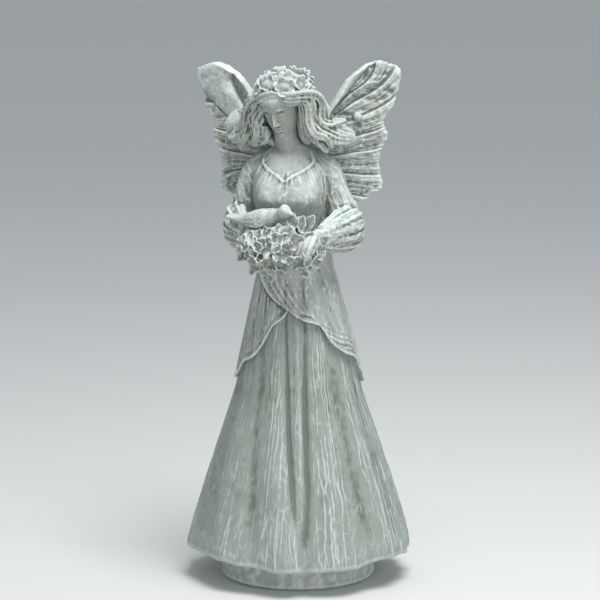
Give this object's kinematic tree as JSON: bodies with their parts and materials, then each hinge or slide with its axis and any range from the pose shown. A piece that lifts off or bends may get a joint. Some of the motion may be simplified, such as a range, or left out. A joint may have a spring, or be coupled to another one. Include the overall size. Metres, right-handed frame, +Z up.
{
  "type": "fairy garden statue",
  "caption": "Cast-stone garden statue of a winged fairy in a long gown, head bowed to a bird on the bouquet she holds, on a low round plinth.",
  "frame": {"origin": "centre of the plinth's underside, on the ground", "axes": "+Z up, the figure faces -Y, +X is to her left"},
  "size_m": [0.3105, 0.2947, 0.7273],
  "materials": {
    "cast_stone": "weathered grey cast stone, matt, with white on the raised carving and darker grey-green in the hollows"
  },
  "bodies": {
    "root": {"fairy_casting": "cast_stone"}
  },
  "joints": []
}
